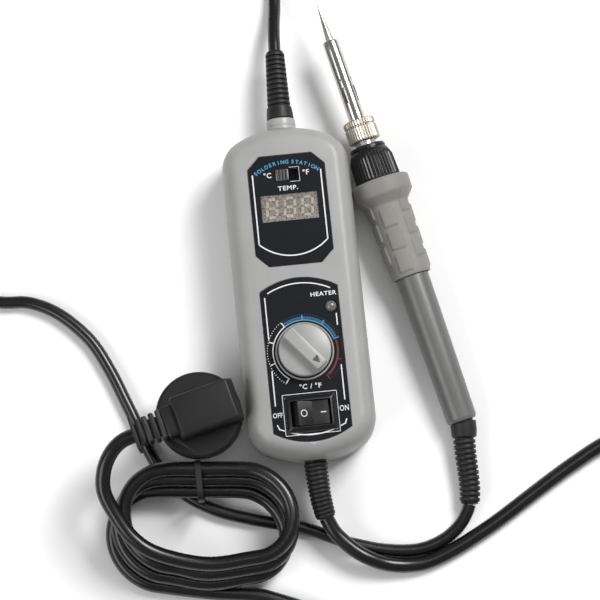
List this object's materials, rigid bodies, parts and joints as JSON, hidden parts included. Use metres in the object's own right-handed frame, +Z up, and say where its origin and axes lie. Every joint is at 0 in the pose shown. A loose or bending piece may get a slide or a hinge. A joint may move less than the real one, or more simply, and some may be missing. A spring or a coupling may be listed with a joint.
{
  "type": "soldering iron station",
  "caption": "Slim temperature-controlled soldering station: control box with knob and rocker switch, wired iron with grip and steel tip, and mains lead with plug.",
  "frame": {"origin": "centre of the control box's flat back, on the table", "axes": "+Z up out of the table and the box's face, +Y along the box towards the iron's cord gland and the iron's tip, +X to the right seen from above, towards the iron"},
  "size_m": [0.3253, 0.3678, 0.0434],
  "materials": {
    "case_plastic": "fine moulded texture",
    "label_print": "satin printed film",
    "window_plastic": "clear tinted window",
    "knob_plastic": "satin",
    "trim_plastic": "satin",
    "lens_plastic": "translucent",
    "black_plastic": "semi-gloss",
    "plug_plastic": "satin moulded",
    "relief_rubber": "matt moulded",
    "cord_sheath": "smooth sheath",
    "tie_plastic": "satin",
    "grip_foam": "matt, moulded pads",
    "handle_plastic": "satin",
    "steel": "polished",
    "dull_steel": "plain",
    "nickel": "warm nickel plate",
    "brass": "plain",
    "board": "solder mask",
    "ceramic": "sintered",
    "film": "dipped"
  },
  "bodies": {
    "station": {"case_back": "case_plastic", "case_front": "case_plastic", "case_screw_1": "dull_steel", "case_screw_2": "dull_steel", "case_screw_3": "dull_steel", "case_screw_4": "dull_steel", "control_chip": "black_plastic", "display_module": "black_plastic", "display_window": "window_plastic", "dropper_capacitor": "film", "earth_clip_1": "nickel", "earth_clip_2": "nickel", "fuse": "lens_plastic", "gland_ferrule": "trim_plastic", "grip_sleeve": "grip_foam", "handle_tube": "handle_plastic", "heater_element": "ceramic", "heater_led": "lens_plastic", "iron_coil_tie": "tie_plastic", "iron_connector": "ceramic", "iron_cord_a": "cord_sheath", "iron_cord_b": "cord_sheath", "iron_cord_coil": "cord_sheath", "iron_cord_gland": "relief_rubber", "iron_cord_relief": "relief_rubber", "knob_ring": "trim_plastic", "lower_label": "label_print", "main_board": "board", "mains_coil_tie": "tie_plastic", "mains_cord_a": "cord_sheath", "mains_cord_coil": "cord_sheath", "mains_cord_gland": "relief_rubber", "mains_cord_lead": "cord_sheath", "nipple": "black_plastic", "plug_body": "plug_plastic", "plug_pin_1": "nickel", "plug_pin_2": "nickel", "pot_body": "dull_steel", "rocker_housing": "black_plastic", "rocker_terminal_1": "brass", "rocker_terminal_2": "brass", "rocker_terminal_3": "brass", "rocker_terminal_4": "brass", "terminal_board": "board", "thread_sleeve": "dull_steel", "triac": "black_plastic", "unit_switch_body": "dull_steel", "upper_label": "label_print"},
    "temperature_knob": {"temp_knob": "knob_plastic", "pot_shaft": "nickel"},
    "power_rocker": {"rocker_paddle": "black_plastic"},
    "unit_slider": {"unit_switch_slider": "black_plastic"},
    "tip_assembly": {"soldering_tip": "steel", "enclosure_pipe": "steel"},
    "tip_nut": {"tip_nut": "nickel"}
  },
  "joints": [
    {"name": "knob_turn", "type": "hinge", "parent": "station", "child": "temperature_knob", "pos_m": [0, -0.0275, 0.036], "axis": [0, 0, 1], "range_deg": [0, 280]},
    {"name": "rocker_tilt", "type": "hinge", "parent": "station", "child": "power_rocker", "pos_m": [0, -0.054, 0.0306], "axis": [0, -1, 0], "range_deg": [0, 24]},
    {"name": "unit_slide", "type": "slide", "parent": "station", "child": "unit_slider", "axis": [1, 0, 0], "range_m": [0, 0.0036]},
    {"name": "tip_slide", "type": "slide", "parent": "station", "child": "tip_assembly", "axis": [-0.2254, 0.9724, 0.061], "range_m": [0, 0.004]},
    {"name": "nut_turn", "type": "hinge", "parent": "tip_assembly", "child": "tip_nut", "pos_m": [0.03512, 0.06862, 0.01487], "axis": [-0.2254, 0.9724, 0.061], "range_deg": [0, 1440]}
  ],
  "couplings": [
    {"joint": "tip_slide", "follows": "nut_turn", "m_per_rad": 0.00015915}
  ]
}
